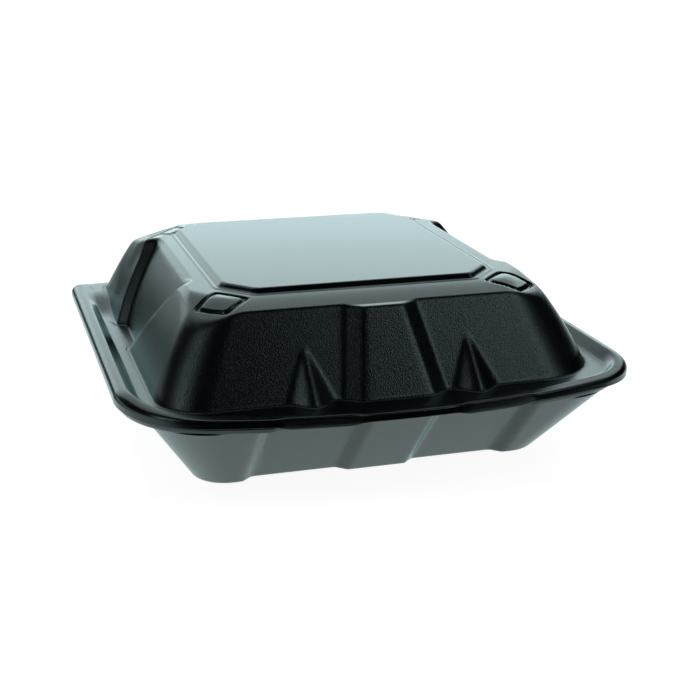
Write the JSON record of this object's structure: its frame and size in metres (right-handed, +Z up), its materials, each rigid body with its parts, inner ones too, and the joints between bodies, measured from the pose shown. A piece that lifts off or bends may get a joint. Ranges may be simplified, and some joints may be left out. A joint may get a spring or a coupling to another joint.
{
  "type": "foam clamshell container",
  "caption": "Square foam clamshell food container with a domed lid hinged along the back edge, lozenge lugs at the lid's corners and front locking tabs",
  "frame": {"origin": "middle of the container's bounding box, on the surface it stands on", "axes": "+Z up, +X to the right seen from the front, +Y towards the hinge; the locking tabs are at -Y"},
  "size_m": [0.214, 0.207, 0.076],
  "materials": {
    "tray_foam": "black polystyrene foam with a fine pebbled skin and a soft sheen",
    "lid_foam": "black polystyrene foam with a fine pebbled skin and a soft sheen, smoother on the flat top"
  },
  "bodies": {
    "tray": {"base_tray": "tray_foam"},
    "cover": {"lid": "lid_foam"}
  },
  "joints": [
    {"name": "lid_hinge", "type": "hinge", "parent": "tray", "child": "cover", "pos_m": [0, 0.1035, 0.038], "axis": [-1, 0, 0], "range_deg": [0, 180]}
  ]
}
